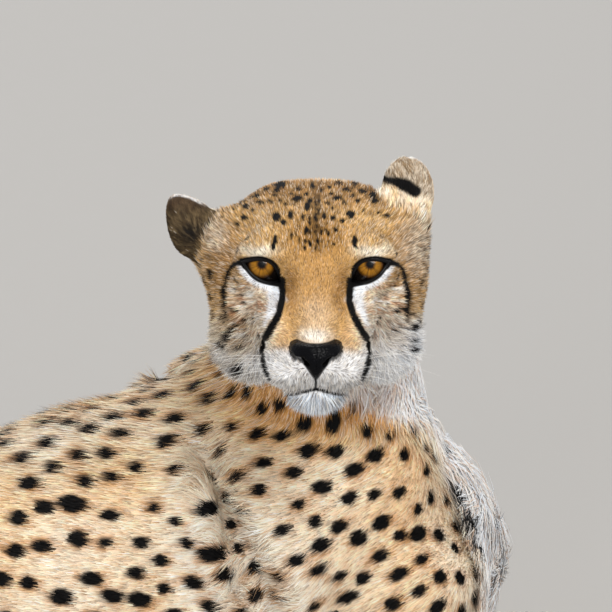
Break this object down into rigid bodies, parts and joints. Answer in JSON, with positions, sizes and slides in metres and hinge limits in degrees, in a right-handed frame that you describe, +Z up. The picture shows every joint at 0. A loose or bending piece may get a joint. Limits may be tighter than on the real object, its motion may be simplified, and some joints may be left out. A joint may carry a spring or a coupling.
{
  "type": "cheetah",
  "caption": "Life-size cheetah lying on its chest, forelegs out, hind legs folded, tail curled on the floor, head raised and turned back over its right shoulder.",
  "frame": {"origin": "on the floor, under the middle of the whole animal's box", "axes": "+X where the body points, along its length; +Y the animal's left side; +Z up"},
  "size_m": [1.1704, 0.5798, 0.4815],
  "materials": {
    "coat": "short dense fur, ochre with solid black spots, cream on the flanks and white on the throat and chest",
    "pale_coat": "short cream fur of the feet and the white tuft of the tail",
    "eyeball": "wet amber iris with a round black pupil",
    "nose_leather": "moist black bare skin",
    "claw": "dark horn, worn smooth"
  },
  "bodies": {
    "root": {"claw_front_left_1": "claw", "claw_front_left_2": "claw", "claw_front_left_3": "claw", "claw_front_left_4": "claw", "claw_front_right_1": "claw", "claw_front_right_2": "claw", "claw_front_right_3": "claw", "claw_front_right_4": "claw", "claw_hind_left_1": "claw", "claw_hind_left_2": "claw", "claw_hind_left_3": "claw", "claw_hind_left_4": "claw", "claw_hind_right_1": "claw", "claw_hind_right_2": "claw", "claw_hind_right_3": "claw", "claw_hind_right_4": "claw", "ear_left": "coat", "ear_right": "coat", "eye_left": "eyeball", "eye_right": "eyeball", "foreleg_left": "coat", "foreleg_right": "coat", "forepaw_left": "pale_coat", "forepaw_right": "pale_coat", "head": "coat", "hindfoot_left": "pale_coat", "hindfoot_right": "pale_coat", "hindleg_left": "coat", "hindleg_right": "coat", "neck": "coat", "nose": "nose_leather", "tail_1": "coat", "tail_2": "coat", "tail_3": "coat", "tail_4": "pale_coat", "trunk": "coat"}
  },
  "joints": []
}
